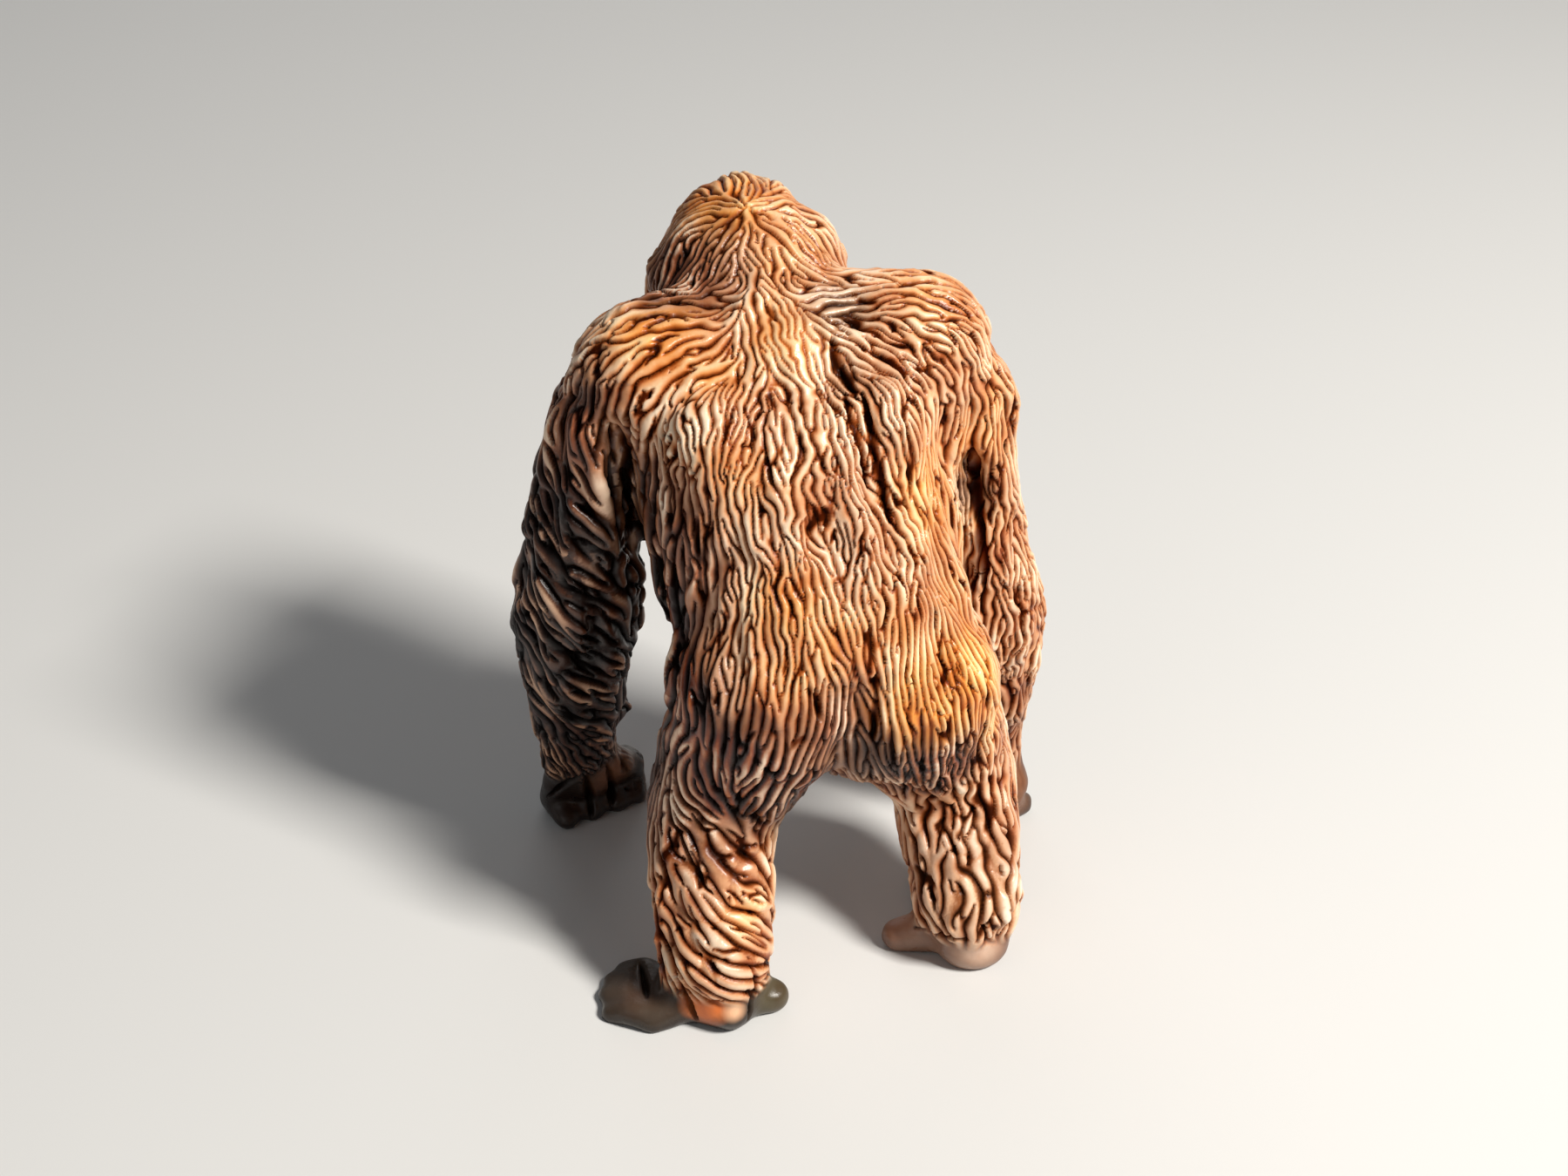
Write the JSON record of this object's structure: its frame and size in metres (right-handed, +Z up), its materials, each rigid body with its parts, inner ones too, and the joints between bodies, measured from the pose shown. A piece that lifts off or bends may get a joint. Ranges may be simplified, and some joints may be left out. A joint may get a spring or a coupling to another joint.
{
  "type": "orangutan figurine",
  "caption": "One-piece moulded orangutan figurine, walking on its feet and knuckles, with a coat of long carved locks.",
  "frame": {"origin": "middle of the figurine's box in X and Y, on the floor that the soles and knuckles stand on", "axes": "+Z up, +Y the way the animal faces, +X to the animal's right"},
  "size_m": [0.0464, 0.0414, 0.0597],
  "materials": {
    "fur_plastic": "semi-gloss moulded plastic, reddish brown with a dark wash in the partings and lighter dry-brushed locks"
  },
  "bodies": {
    "root": {"orangutan": "fur_plastic"}
  },
  "joints": []
}
